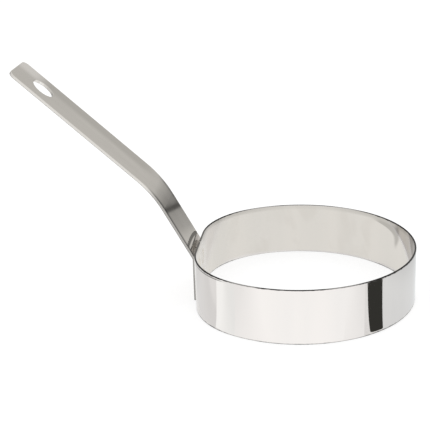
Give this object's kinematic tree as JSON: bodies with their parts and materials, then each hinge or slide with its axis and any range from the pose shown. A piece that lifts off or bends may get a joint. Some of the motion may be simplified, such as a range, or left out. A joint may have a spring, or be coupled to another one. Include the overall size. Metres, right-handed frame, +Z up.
{
  "type": "egg ring",
  "caption": "Round stainless steel cooking ring for eggs, with a bent strip handle spot welded to its band and a hole to hang it by.",
  "frame": {"origin": "middle of the ring on the flat bottom rim that it stands on", "axes": "+Z up out of the ring, -X towards the handle, the ring and handle are the same on both sides of the XZ plane"},
  "size_m": [0.1718, 0.1016, 0.1033],
  "materials": {
    "band_steel": "stainless sheet polished to a mirror",
    "strip_steel": "stainless strip, satin with soft reflections",
    "weld_steel": "fused stainless, ground flush"
  },
  "bodies": {
    "root": {"ring_band": "band_steel", "seam_weld": "weld_steel", "handle": "strip_steel", "spot_welds": "weld_steel"}
  },
  "joints": []
}
